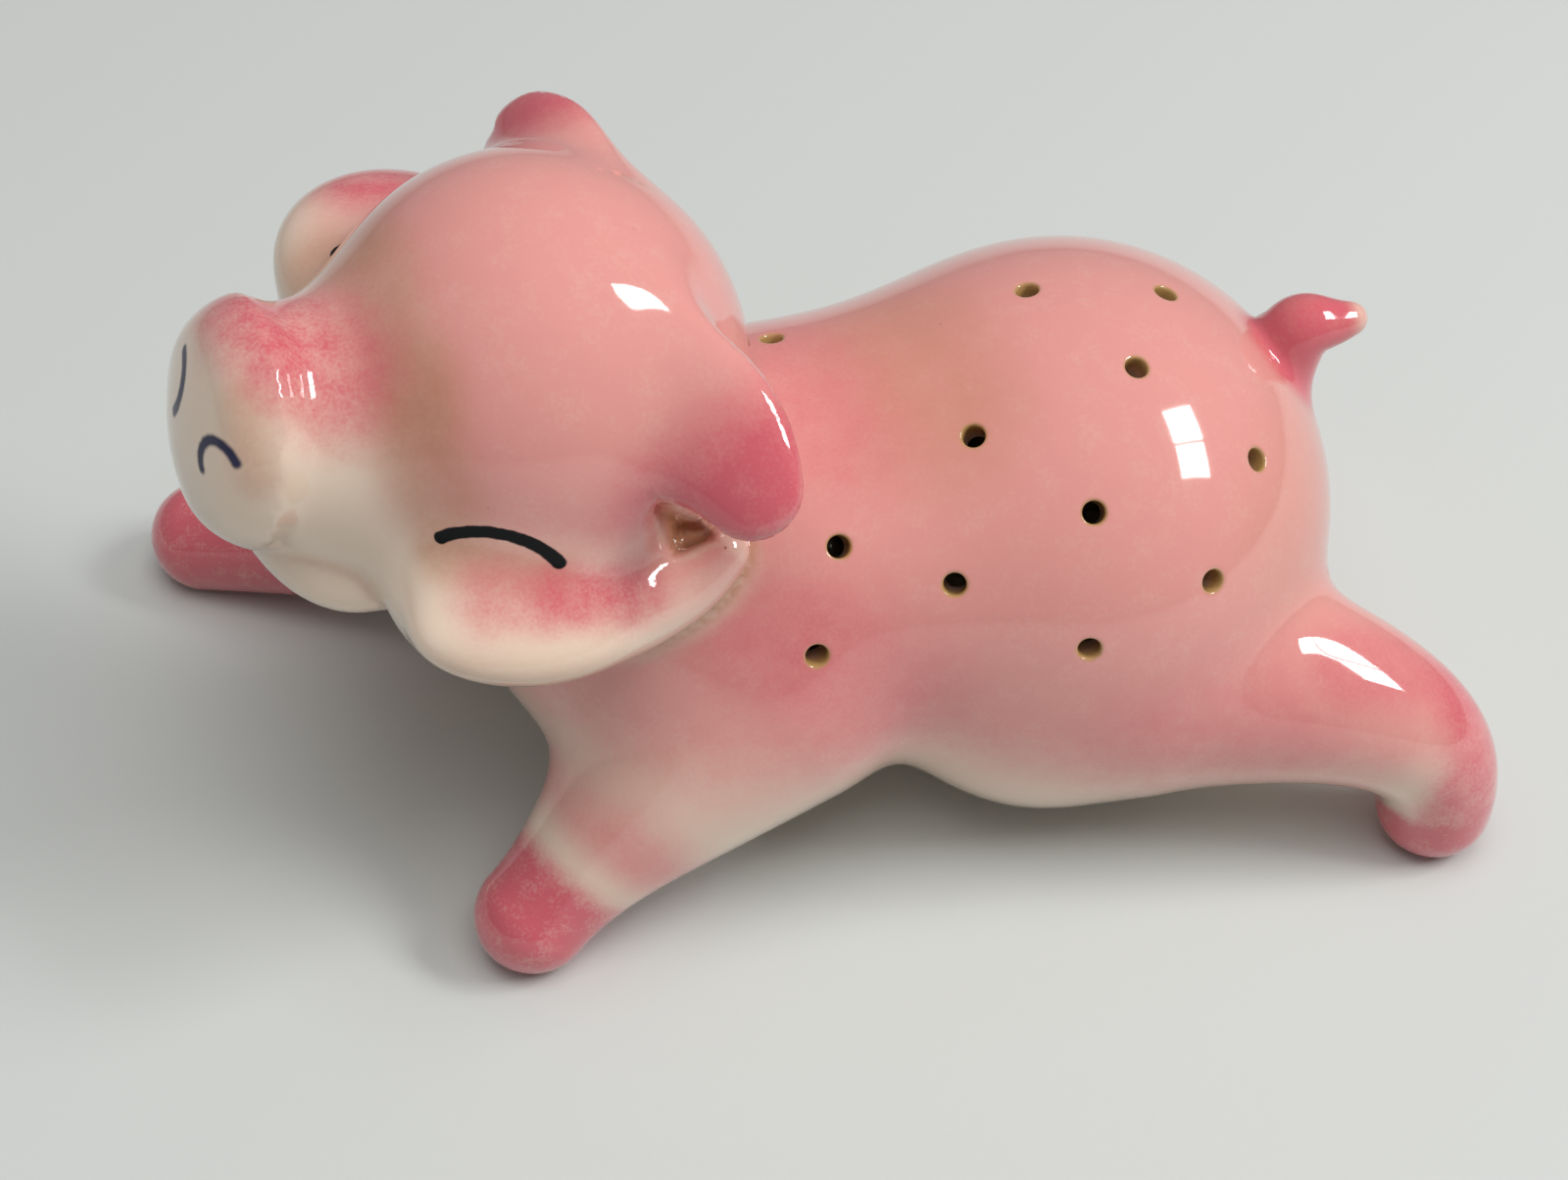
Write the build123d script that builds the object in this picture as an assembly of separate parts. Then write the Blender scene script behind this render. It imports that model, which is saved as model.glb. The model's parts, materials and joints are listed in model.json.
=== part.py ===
from build123d import *
import math
import os

# A hollow glazed pig that holds cocktail picks in the small holes over its back.
# It faces -X with its left side towards -Y, and it stands on four hooves at z = 0.
# Each piece is moulded by itself and luted on with slip, so a limb is cut to the skin
# that it sits on. The origin is moved under the middle of the finished pig at the end.

# Body: two moulded halves that meet along a level seam
wall = 4.0
body_length = 108.0
body_width = 68.0
body_rise = 33.0
body_drop = 32.0
belly_clearance = 1.5
haunch_length = 40.0
haunch_width = 37.0
haunch_height = 40.0
pick_hole_diameter = 2.6

# Head: one hollow casting with the snout, the cheeks and the lower lip
head_length = 65.4
head_width = 55.0
head_rise = 28.0
head_drop = 25.0
head_yaw = 13.0
head_pitch = 14.0
head_roll = 12.0
cheek_length = 31.0
cheek_width = 24.4
cheek_height = 12.0
jowl_length = 30.0
jowl_width = 26.0
jowl_height = 20.0
lip_length = 26.0
lip_width = 28.0
lip_height = 16.0
neck_bore_diameter = 20.0

# Ears: flopped lobes, hollowed underneath
ear_length = 15.5
ear_width = 19.0
ear_thickness = 9.5

# Legs: the right foreleg reaches forward, the others stand under the body
front_left_reach = 34.0
front_right_reach = 71.0
rear_left_reach = 38.0
rear_right_reach = 35.0
front_left_bearing = 204.5
front_right_bearing = 156.5
rear_left_bearing = -25.0
rear_right_bearing = 27.0
shoulder_radius = 17.0
forearm_radius = 13.0
wrist_radius = 7.2
haunch_radius = 17.0
thigh_radius = 11.0
hock_radius = 8.0
hoof_radius = 7.2
sole_cut = 1.2

# Tail: a short curl
tail_length = 10.0
tail_root_radius = 6.0
tail_bend_radius = 3.8
tail_tip_radius = 1.6

# A cut runs past the skin by this much
overrun = 6.0

# Sections of the body from chest to rump: place along the length, then half width,
# rise and drop as shares of the largest ones
body_tip_share = 0.08
chest_place_share = 0.26
body_shares = (
    (0.017, 0.28, 0.31, 0.28),
    (0.056, 0.48, 0.52, 0.49),
    (0.13, 0.67, 0.72, 0.69),
    (0.24, 0.79, 0.83, 0.81),
    (0.36, 0.81, 0.84, 0.80),
    (0.46, 0.83, 0.85, 0.81),
    (0.565, 0.94, 0.94, 0.93),
    (0.69, 1.00, 1.00, 1.00),
    (0.815, 0.90, 0.91, 0.90),
    (0.907, 0.69, 0.70, 0.69),
    (0.968, 0.42, 0.43, 0.41),
    (0.993, 0.20, 0.21, 0.20),
)
haunch_place_shares = (0.64, 0.41, 0.69)

# Sections of the head from nape to snout, in the same form
head_tip_share = 0.04
head_shares = (
    (0.020, 0.30, 0.34, 0.28),
    (0.086, 0.61, 0.63, 0.60),
    (0.183, 0.83, 0.84, 0.83),
    (0.30, 0.96, 0.97, 0.96),
    (0.425, 1.00, 1.00, 1.00),
    (0.541, 0.94, 0.95, 0.94),
    (0.644, 0.81, 0.82, 0.82),
    (0.72, 0.64, 0.66, 0.71),
    (0.792, 0.46, 0.46, 0.60),
    (0.869, 0.43, 0.43, 0.59),
    (0.945, 0.46, 0.46, 0.61),
    (0.991, 0.38, 0.37, 0.50),
    (1.0, 0.31, 0.29, 0.42),
)

# Cavity of the skull, which stops short of the snout
skull_share = 0.81
skull_place_share = 0.425

# Places on the head: along its length, to the side, and up or down
head_place_shares = (0.074, 0.0, 0.955)
cheek_place_shares = (0.494, 0.89, -0.16)
jowl_place_shares = (0.501, 0.69, -0.40)
lip_place_shares = (0.738, 0.0, -0.58)
left_ear_place_shares = (0.326, 0.745, 0.554)
right_ear_place_shares = (0.303, 0.71, 0.607)
left_ear_axis_shares = (-0.66, 0.74, -0.10)
right_ear_axis_shares = (-0.30, 0.92, 0.0)
ear_spread_shares = (-0.50, -0.50, 0.70)

# Line of an ear from its root, in lengths along it, half widths aside and half thicknesses up,
# then its half width along that line and the hollow under it, in the same shares
ear_path_shares = ((-0.19, 0.11, 0.0), (0.13, 0.11, 0.13), (0.39, -0.11, 0.17), (0.61, -0.32, 0.0))
ear_width_shares = (1.0, 1.0, 0.84, 0.63)
ear_cup_place_shares = (0.52, -0.84, -0.74)
ear_cup_shares = (1.03, 0.84, 0.95)

# Bends of a leg between its root and its hoof: shares of its reach and of its root's height
front_left_bend_shares = ((0.46, 0.74), (0.71, 0.48))
front_right_bend_shares = ((0.34, 0.61), (0.63, 0.43))
rear_bend_shares = ((0.52, 1.0), (1.0, 0.93))
leg_span_share = 4.0
root_rings = 3
limb_rings = 8

# Roots of the legs on the body: along it, to the side, and up from the ground
front_left_root_shares = (0.306, 0.41, 0.80)
front_right_root_shares = (0.287, 0.53, 0.83)
rear_left_root_shares = (0.75, 0.53, 0.72)
rear_right_root_shares = (0.713, 0.59, 0.72)

# Tail: its root on the rump, and its bends in tail lengths back and up from there
tail_root_shares = (0.917, 0.0, 0.50)
tail_path_shares = ((0.35, 0.60), (0.45, 1.0), (1.0, 0.90))

# Pick holes: place along the body, and degrees from the top towards the left
pick_hole_shares = (
    (0.364, -18.0), (0.637, -7.0), (0.788, -3.0), (0.72, 18.5), (0.537, 26.5),
    (0.837, 40.5), (0.642, 46.5), (0.38, 46.0), (0.495, 58.0), (0.764, 64.0),
    (0.626, 74.0), (0.344, 71.0),
    (0.837, -40.5), (0.642, -46.5), (0.38, -46.0), (0.495, -58.0), (0.764, -64.0),
    (0.626, -74.0), (0.344, -71.0),
)

body_front = -body_length / 2
axis_height = body_drop + belly_clearance
ball_steps = 6


def oval(half_width, rise, drop):
    """A flat egg of four quarter ellipses, upright in its own plane."""
    quarters = ((rise, 0), (rise, 90), (drop, 180), (drop, 270))
    return make_face([
        EllipticalCenterArc((0, 0), half_width, height, start, arc_size=90)
        for height, start in quarters
    ])


def long_form(place, length, sections, tip_lift, flat_end=False):
    """A smooth solid along place's Z, through sections of (place share, half width, rise, drop)."""
    rings = [place * Pos(0, 0, along * length) * oval(a, b, c) for along, a, b, c in sections]
    start = place * Vertex(0, tip_lift, 0)
    end = [] if flat_end else [place * Vertex(0, tip_lift, length)]
    return loft([start, *rings, *end])


def ball(place, length, width, height):
    """An ellipsoid with its middle at place and its length along place's Z."""
    sections = []
    for step in range(1, ball_steps):
        turn = math.pi * step / ball_steps
        size = math.sin(turn) / 2
        sections.append(((1 - math.cos(turn)) / 2, width * size, height * size, height * size))
    return long_form(place * Pos(0, 0, -length / 2), length, sections, 0)


def body_form(inset):
    """The outer form of the body, or its cavity, which lies inside by inset."""
    half, rise, drop = body_width / 2 - inset, body_rise - inset, body_drop - inset
    sections = [(x, a * half, b * rise, c * drop) for x, a, b, c in body_shares]
    start = Plane(origin=(body_front + inset, 0, axis_height), x_dir=(0, 1, 0), z_dir=(1, 0, 0))
    return long_form(Location(start), body_length - 2 * inset, sections, body_tip_share * rise)


def body_point(along, side, height):
    """A point inside the body: shares of its length, half width and axis height."""
    return Vector(body_front + along * body_length, side * body_width / 2, height * axis_height)


def head_frame():
    """Where the head sits: X to its left, Y up, Z forward, with the middle of the skull at zero."""
    forward = Vector(-1, 0, 0).rotate(Axis.Z, head_yaw)
    left = Vector(0, -1, 0).rotate(Axis.Z, head_yaw)
    forward = forward.rotate(Axis((0, 0, 0), left), -head_pitch)
    left = left.rotate(Axis((0, 0, 0), forward), -head_roll)
    along, side, lift = head_place_shares
    middle = Vector(body_front + along * body_length, side * body_width / 2, axis_height + lift * body_rise)
    return Plane(origin=middle, x_dir=left, z_dir=forward)


def on_head(along, side, lift):
    """A place in the head's own frame, from shares of its length, half width, and rise or drop."""
    height = head_rise if lift > 0 else head_drop
    return Pos(side * head_width / 2, lift * height, (along - skull_place_share) * head_length)


def head_form(place):
    """The outer form of the head: skull and snout in one sweep, with cheeks, jowls and lower lip."""
    half = head_width / 2
    sections = [(x, a * half, b * head_rise, c * head_drop) for x, a, b, c in head_shares]
    back = place * on_head(0, 0, 0)
    form = long_form(back, head_length, sections, head_tip_share * head_rise, flat_end=True)
    form += ball(place * on_head(*lip_place_shares), lip_length, lip_width, lip_height)
    for hand in (1, -1):
        along, side, lift = cheek_place_shares
        form += ball(place * on_head(along, hand * side, lift), cheek_length, cheek_width, cheek_height)
        along, side, lift = jowl_place_shares
        form += ball(place * on_head(along, hand * side, lift), jowl_length, jowl_width, jowl_height)
    return form


def head_cavity(place):
    """The hollow of the skull, one wall inside it."""
    length = skull_share * head_length - 2 * wall
    return ball(place, length, head_width - 2 * wall, head_rise + head_drop - 2 * wall)


def limb(path, radii, aside, flatness):
    """A limb along a Bezier path of four points, with four radii that lead its size, and round ends."""
    line = Bezier(*path)
    a, b, c, d = radii
    begin = line.tangent_at(0)
    sections = []
    for step in range(1, root_rings):
        turn = math.pi / 2 * step / root_rings
        plane = Plane(origin=line.position_at(0) - begin * (a * math.cos(turn)), x_dir=aside, z_dir=begin)
        radius = a * math.sin(turn)
        sections.append(plane * oval(radius, radius * flatness, radius * flatness))
    for step in range(limb_rings):
        t = step / (limb_rings - 1)
        radius = a * (1 - t) ** 3 + 3 * b * (1 - t) ** 2 * t + 3 * c * (1 - t) * t ** 2 + d * t ** 3
        point = line.position_at(t, position_mode=PositionMode.PARAMETER)
        way = line.tangent_at(t, position_mode=PositionMode.PARAMETER)
        plane = Plane(origin=point, x_dir=aside, z_dir=way)
        sections.append(plane * oval(radius, radius * flatness, radius * flatness))
    end = line.tangent_at(1)
    half_way = d * math.sqrt(2) / 2
    plane = Plane(origin=line.position_at(1) + end * half_way, x_dir=aside, z_dir=end)
    sections.append(plane * oval(half_way, half_way * flatness, half_way * flatness))
    start = Vertex(*(line.position_at(0) - begin * a))
    return loft([start, *sections, Vertex(*(line.position_at(1) + end * d))])


def ear(place, hand, place_shares, axis_shares):
    """A flopped lobe on the left (1) or right (-1) of the head, scooped out underneath."""
    along, side, lift = place_shares
    forward, out, up = axis_shares
    axis = Vector(hand * out, up, forward).normalized()
    forward, out, up = ear_spread_shares
    spread = Vector(hand * out, up, forward)
    spread = (spread - axis * spread.dot(axis)).normalized()
    own = Location(Plane((0, 0, 0), x_dir=spread, z_dir=axis))
    half, thick = ear_width / 2, ear_thickness / 2
    path = [(w * half, hand * n * thick, a * ear_length) for a, w, n in ear_path_shares]
    lobe = limb(path, [share * half for share in ear_width_shares], Vector(1, 0, 0), thick / half)
    length, width, depth = ear_cup_shares
    a, w, n = ear_cup_place_shares
    under = Pos(w * half, hand * n * thick, a * ear_length)
    cup = ball(under, length * ear_length, width * ear_width, depth * ear_thickness)
    return place * on_head(along, hand * side, lift) * own * (lobe - cup)


def leg(root, bearing, reach, bend_shares, radii):
    """A leg in the upright plane through root at this bearing, with a flat sole on the ground."""
    heading = Vector(1, 0, 0).rotate(Axis.Z, bearing)
    foot = Vector(root.X, root.Y, 0)
    bends = [foot + heading * (r * reach) + Vector(0, 0, h * root.Z) for r, h in bend_shares]
    hoof = foot + heading * reach + Vector(0, 0, hoof_radius - sole_cut)
    blank = limb((root, *bends, hoof), radii, heading.cross(Vector(0, 0, 1)), 1)
    ground = Pos(*hoof) * Pos(0, 0, sole_cut - hoof_radius) * Box(
        leg_span_share * hoof_radius, leg_span_share * hoof_radius, hoof_radius,
        align=(Align.CENTER, Align.CENTER, Align.MAX),
    )
    return blank - ground


def tail():
    """A short curl that rises from the rump and bends back."""
    along, side, rise = tail_root_shares
    root = Vector(body_front + along * body_length, side * body_width / 2, axis_height + rise * body_rise)
    points = [root + Vector(x, 0, z) * tail_length for x, z in tail_path_shares]
    radii = (tail_root_radius, tail_bend_radius, tail_bend_radius, tail_tip_radius)
    return limb((root, *points), radii, Vector(0, 1, 0), 1)


def pick_axes(skin):
    """Where each pick hole leaves the skin, and the way out, square to the skin."""
    axes = []
    for along, turn in pick_hole_shares:
        centre = body_point(along, 0, 1)
        way = Vector(0, 0, 1).rotate(Axis.X, turn)
        hits = skin.find_intersection_points(Axis(centre, way))
        axes.append(max(hits, key=lambda hit: (hit[0] - centre).dot(way)))
    return axes


def drill(point, way):
    """A round cutter that goes through the wall at a pick hole."""
    depth = wall + overrun
    start = Plane(origin=point - way * depth, z_dir=way)
    upward = (Align.CENTER, Align.CENTER, Align.MIN)
    return start * Cylinder(pick_hole_diameter / 2, depth + overrun, align=upward)


along, side, height = haunch_place_shares
haunches = [
    ball(Pos(*body_point(along, hand * side, height)), haunch_height, haunch_length, haunch_width)
    for hand in (1, -1)
]
plain_skin = body_form(0)
skin = plain_skin + haunches
head_place = head_frame()
head_at = Location(head_place)
head_skin = head_form(head_at)
pick_holes = pick_axes(plain_skin)

chest = body_point(chest_place_share, 0, 1)
neck = Plane(origin=chest, z_dir=head_place.origin - chest)
neck_length = (head_place.origin - chest).length
neck_bore = neck * Cylinder(
    neck_bore_diameter / 2, neck_length, align=(Align.CENTER, Align.CENTER, Align.MIN)
)

shell = skin - [body_form(wall), neck_bore, *[drill(*hole) for hole in pick_holes]]
seam = Plane(origin=(0, 0, axis_height))
pieces = {
    "back_shell": split(shell, bisect_by=seam, keep=Keep.TOP),
    "belly_shell": split(shell, bisect_by=seam, keep=Keep.BOTTOM),
    "head_shell": head_skin - [skin, head_cavity(head_at), neck_bore],
    "left_ear": ear(head_at, 1, left_ear_place_shares, left_ear_axis_shares) - head_skin,
    "right_ear": ear(head_at, -1, right_ear_place_shares, right_ear_axis_shares) - head_skin,
}

foreleg_radii = (shoulder_radius, forearm_radius, wrist_radius, hoof_radius)
hind_leg_radii = (haunch_radius, thigh_radius, hock_radius, hoof_radius)
legs = (
    ("front_left", front_left_root_shares, -1, front_left_bearing, front_left_reach,
     front_left_bend_shares, foreleg_radii),
    ("front_right", front_right_root_shares, 1, front_right_bearing, front_right_reach,
     front_right_bend_shares, foreleg_radii),
    ("rear_left", rear_left_root_shares, -1, rear_left_bearing, rear_left_reach,
     rear_bend_shares, hind_leg_radii),
    ("rear_right", rear_right_root_shares, 1, rear_right_bearing, rear_right_reach,
     rear_bend_shares, hind_leg_radii),
)
for name, (along, side, height), hand, bearing, reach, bend_shares, radii in legs:
    root = body_point(along, hand * side, height)
    pieces[f"{name}_leg"] = leg(root, bearing, reach, bend_shares, radii) - skin
pieces["tail"] = tail() - skin

box = Compound(children=[Compound(piece.solids()) for piece in pieces.values()]).bounding_box()
stand = Pos(-box.center().X, -box.center().Y, -box.min.Z)

os.makedirs("parts", exist_ok=True)
for name, piece in pieces.items():
    export_step(stand * Compound(piece.solids()), f"parts/{name}.step")
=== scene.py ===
import json
import math

import bpy
import numpy as np
from bpy.props import FloatProperty, FloatVectorProperty, PointerProperty
from bpy.types import Operator, Panel, PropertyGroup
from mathutils import Matrix, Vector


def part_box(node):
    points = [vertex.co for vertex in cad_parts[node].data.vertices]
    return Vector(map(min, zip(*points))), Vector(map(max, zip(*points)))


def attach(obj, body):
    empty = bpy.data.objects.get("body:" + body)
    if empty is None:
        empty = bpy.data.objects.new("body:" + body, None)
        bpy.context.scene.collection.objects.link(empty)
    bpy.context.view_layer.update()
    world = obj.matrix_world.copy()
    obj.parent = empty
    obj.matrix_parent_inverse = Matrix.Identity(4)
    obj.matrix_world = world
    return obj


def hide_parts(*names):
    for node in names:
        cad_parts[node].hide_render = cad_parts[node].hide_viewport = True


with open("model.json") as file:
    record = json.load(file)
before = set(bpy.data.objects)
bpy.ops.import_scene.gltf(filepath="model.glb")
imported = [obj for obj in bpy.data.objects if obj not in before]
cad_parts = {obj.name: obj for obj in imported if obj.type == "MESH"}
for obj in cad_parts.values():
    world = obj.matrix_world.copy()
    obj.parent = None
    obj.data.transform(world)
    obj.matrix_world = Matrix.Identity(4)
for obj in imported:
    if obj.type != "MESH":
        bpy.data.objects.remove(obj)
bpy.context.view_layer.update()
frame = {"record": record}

bl_info = {
    "name": "Pick holder pig",
    "version": (1, 0, 0),
    "blender": (4, 5, 0),
    "location": "View3D > Sidebar > Pig",
    "description": "Models the glazed pig figurine over its packed frame",
    "category": "Add Mesh",
}

# ---------------------------------------------------------------- sizes read from the frame

LEG_NODES = ("front_left_leg", "front_right_leg", "rear_left_leg", "rear_right_leg")
EAR_NODES = ("left_ear", "right_ear")
MOUNTS = {mount["name"]: mount for mount in frame["record"]["mounts"]}
BACK_BOX = [np.array(corner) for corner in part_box("back_shell")]
BODY_LENGTH = float(BACK_BOX[1][0] - BACK_BOX[0][0])
BODY_MIDDLE = (BACK_BOX[0] + BACK_BOX[1]) / 2 * (1, 1, 0)
SEAM_HEIGHT = float(BACK_BOX[0][2])

# The modeller's unit: the body is 108 modules long. Every place and radius below is in modules,
# from the point on the ground under the middle of the body: x to the tail, y to the pig's right.
MODULES_IN_BODY = 108.0
MODULE = BODY_LENGTH / MODULES_IN_BODY


def to_modules(point):
    """A point of the frame, in modules from under the middle of the body."""
    return (np.asarray(point, float) - BODY_MIDDLE) / MODULE


def to_frame(points):
    """Points in modules, back in the frame's metres."""
    return np.asarray(points, float) * MODULE + BODY_MIDDLE


def sole(leg):
    """Where a hoof stands, in modules, from the record's mount under it."""
    return to_modules(MOUNTS[leg.replace("_leg", "_sole")]["pos_m"])


# ---------------------------------------------------------------- the pig's forms

# The cell of the mesh, and the step that slopes are measured over
CELL = 0.9
FINE_STEP = 0.12

# Rounded forms of the body: middle and radii
RUMP = ((20.0, 0.0, 34.0), (33.0, 34.0, 32.5))
CHEST = ((-26.0, 0.0, 34.0), (28.0, 26.5, 26.5))
LOIN = ((-6.0, 0.0, 36.0), (22.0, 23.0, 20.5))
HAUNCH = ((15.0, 14.0, 23.0), (20.0, 18.5, 20.0))
TORSO_BLEND = 22.0
HAUNCH_BLEND = 10.0

# Forms of the head, in its own frame: forward, left, up
HEAD_PLACE = (-46.0, 0.0, 65.0)
HEAD_YAW, HEAD_PITCH, HEAD_ROLL = 13.0, 14.0, 12.0
SKULL = ((-1.3, 0.0, 1.6), (24.9, 25.3, 26.7))
# The two cheeks were pressed on by hand, and the left one (1) sits lower than the right one (-1)
CHEEKS = {1: ((5.0, 26.5, -6.7), (13.7, 7.6, 4.5)), -1: ((5.5, -23.0, -3.2), (14.6, 13.5, 7.2))}
JOWLS = {1: ((4.3, 19.8, -9.3), (14.1, 11.0, 9.9)), -1: ((4.8, -20.6, -8.4), (14.1, 11.1, 10.1))}
LIP = ((18.7, 0.0, -14.75), (11.5, 16.3, 7.9))
CHEEK_BLENDS = {1: 10.0, -1: 5.0}
JOWL_BLEND = 8.0
LIP_BLEND = 3.0
# The snout: where it starts and ends, how far it is lifted, its radius, how narrow it is, and the radii
# of its edge and of its domed face. The muzzle behind it is a limb, squeezed sideways
SNOUT_START, SNOUT_END, SNOUT_LIFT = 27.6, 37.9, -0.6
SNOUT_RADIUS, SNOUT_SQUEEZE, SNOUT_EDGE, SNOUT_DOME = 14.4, 0.93, 5.0, 36.0
MUZZLE = ((6.0, 0.0, -3.9), (12.0, 0.0, -5.6), (17.5, 0.0, -5.0), (22.5, 0.0, -2.3))
MUZZLE_RADII = (19.6, 18.4, 17.0, 14.4)
MUZZLE_SQUEEZE = 0.9
MUZZLE_BLEND = 9.0
SNOUT_BLEND = 6.0
# The fold on the left of the head, where it leans down: from the cheek back to the neck under the ear
FOLD = ((2.0, 23.0, -9.0), (-6.0, 26.0, -7.8), (-12.5, 27.0, -5.2), (-16.6, 25.2, -0.4))
FOLD_RADII = (8.0, 6.0, 4.3, 2.8)
FOLD_BLEND = 3.5


def unit(vectors):
    return vectors / np.maximum(np.linalg.norm(vectors, axis=-1, keepdims=True), 1e-9)


def smooth(low, high, value):
    """0 below low, 1 above high, and a soft step between."""
    share = np.clip((value - low) / (high - low), 0.0, 1.0)
    return share * share * (3.0 - 2.0 * share)


def cubic_min(a, b, blend):
    """The nearer of two forms, with a fillet of slip where they meet."""
    near = np.maximum(blend - np.abs(a - b), 0.0) / blend
    return np.minimum(a, b) - near ** 3 * blend / 6.0


def cubic_max(a, b, blend):
    return -cubic_min(-a, -b, blend)


def ellipsoid(points, form):
    centre, radii = np.asarray(form[0]), np.asarray(form[1])
    away = points - centre
    first = np.linalg.norm(away / radii, axis=1)
    second = np.linalg.norm(away / radii ** 2, axis=1)
    return first * (first - 1.0) / np.maximum(second, 1e-9)


def bernstein(controls, t):
    a, b, c, d = (np.asarray(v, float) for v in controls)
    t = np.asarray(t, float)
    t = t[:, None] if a.ndim else t
    s = 1.0 - t
    return a * s ** 3 + 3 * b * s ** 2 * t + 3 * c * s * t ** 2 + d * t ** 3


def limb_share(points, path, radii, steps=24):
    """How far along a limb the nearest ball of its Bezier path lies: 0 at the root, 1 at the end."""
    t = np.linspace(0.0, 1.0, steps + 1)
    places, sizes = bernstein(path, t), bernstein(radii, t)
    gaps = np.empty((steps + 1, len(points)))
    for row, place, size in zip(gaps, places, sizes):
        row[:] = np.sqrt(((points - place) ** 2).sum(1)) - size
    best = gaps.argmin(0)
    here = np.clip(best, 1, steps - 1)
    each = np.arange(len(points))
    low, mid, high = gaps[here - 1, each], gaps[here, each], gaps[here + 1, each]
    bend = np.maximum(low - 2 * mid + high, 1e-9)
    return np.clip((here + np.clip((low - high) / (2 * bend), -1, 1)) / steps, 0.0, 1.0)


def limb(points, path, radii):
    """A rolled limb: balls of changing size along a Bezier path."""
    share = limb_share(points, path, radii)
    return np.linalg.norm(points - bernstein(path, share), axis=1) - bernstein(radii, share)


def rotation(axis, degrees):
    return np.array(Matrix.Rotation(math.radians(degrees), 3, axis))


def head_axes():
    """The head's own forward, left and up."""
    forward, left = np.array((-1.0, 0.0, 0.0)), np.array((0.0, -1.0, 0.0))
    turn = rotation(Vector((0, 0, 1)), HEAD_YAW)
    forward, left = turn @ forward, turn @ left
    forward = rotation(Vector(left), -HEAD_PITCH) @ forward
    left = rotation(Vector(forward), -HEAD_ROLL) @ left
    return np.array((forward, left, np.cross(forward, left)))


HEAD_AXES = head_axes()


def on_head(points):
    """Points in the head's own frame: forward, left, up from the middle of the skull."""
    return (points - HEAD_PLACE) @ HEAD_AXES.T


def mirrored(form, hand):
    (f, s, u), radii = form
    return (f, hand * s, u), radii


def snout(own):
    """The snout's disc with its rounded edge and domed face."""
    across = np.hypot(own[:, 1] / SNOUT_SQUEEZE, own[:, 2] - SNOUT_LIFT) - SNOUT_RADIUS + SNOUT_EDGE
    face = np.linalg.norm(own - (SNOUT_END - SNOUT_DOME, 0.0, SNOUT_LIFT), axis=1) - SNOUT_DOME
    along = np.maximum(face, SNOUT_START - own[:, 0]) + SNOUT_EDGE
    outside = np.hypot(np.maximum(across, 0), np.maximum(along, 0))
    return outside + np.minimum(np.maximum(across, along), 0) - SNOUT_EDGE


def skull(points):
    """The head without its ears: skull, muzzle, snout, cheeks, jowls, fold and lower lip."""
    own = on_head(points)
    squeezed = own / (1, MUZZLE_SQUEEZE, 1)
    form = cubic_min(ellipsoid(own, SKULL), limb(squeezed, MUZZLE, MUZZLE_RADII), MUZZLE_BLEND)
    form = cubic_min(form, snout(own), SNOUT_BLEND)
    for hand in (1, -1):
        cheek = cubic_min(ellipsoid(own, CHEEKS[hand]), ellipsoid(own, JOWLS[hand]), JOWL_BLEND)
        form = cubic_min(form, cheek, CHEEK_BLENDS[hand])
    form = cubic_min(form, limb(own, FOLD, FOLD_RADII), FOLD_BLEND)
    return cubic_min(form, ellipsoid(own, LIP), LIP_BLEND)


# The ears: where the left (1) and right (-1) one starts and the way it points, on the left of the head,
# the way it spreads, how long it is beside the left one, its line and radii in its own frame, and how flat
# it is pressed
EAR_ROOTS = {1: (-7.3, 19.3, 16.1), -1: (-5.2, 17.5, 13.9)}
EAR_AXES = {1: (-0.55, 0.83, 0.0), -1: (-0.15, 0.96, 0.24)}
EAR_SPREAD = (-0.41, -0.49, 0.77)
EAR_LENGTHS = {1: 1.0, -1: 0.72}
EAR_PATH = ((-3.0, 1.5, 0.0), (2.0, 2.5, 0.6), (7.0, 1.5, 0.8), (11.0, -0.5, 0.0))
EAR_RADII = (8.8, 9.2, 7.5, 5.7)
EAR_FLATNESS = 0.40
# The hollow pressed in under an ear: its three corners on the left of the head, the way it faces,
# how softly each of its sides starts, its depth, and how far out on the head it starts at all
HOLLOW = ((-2.0, 25.6, 14.4), (-8.5, 26.9, 0.1), (-9.8, 32.5, 12.8))
HOLLOW_WAY = (0.46, 0.49, 0.74)
HOLLOW_SIDES = (2.6, 2.6, 2.0)
HOLLOW_DEPTH = 1.7
HOLLOW_BEYOND = (8.0, 12.0)


def ear_place(points, hand):
    """Points in an ear's own frame: out along it, across it, and off its upper face."""
    own = on_head(points) * (1, hand, 1) - EAR_ROOTS[hand]
    axis = np.array(EAR_AXES[hand]) / np.linalg.norm(EAR_AXES[hand])
    spread = np.array(EAR_SPREAD) - axis * np.dot(EAR_SPREAD, axis)
    spread /= np.linalg.norm(spread)
    return own @ np.array((axis, spread, np.cross(axis, spread))).T


def ear(points, hand):
    own = ear_place(points, hand)
    own = own / (EAR_LENGTHS[hand], 1, EAR_FLATNESS)
    return limb(own, EAR_PATH, EAR_RADII) * EAR_FLATNESS


def hollow(points, hand):
    """How deep the skin is pressed in under an ear, from 0 to 1."""
    own = on_head(points) * (1, hand, 1)
    corners = np.array(HOLLOW)
    following, opposites = np.roll(corners, -1, 0), np.roll(corners, 1, 0)
    share = smooth(*HOLLOW_BEYOND, own[:, 1])
    for corner, after, opposite, soft in zip(corners, following, opposites, HOLLOW_SIDES):
        inwards = unit(np.cross(after - corner, HOLLOW_WAY))
        inwards *= np.sign(inwards @ (opposite - corner))
        share = share * smooth(0.0, soft, (own - corner) @ inwards)
    return share


def hollows(points):
    return hollow(points, 1) + hollow(points, -1)


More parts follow.
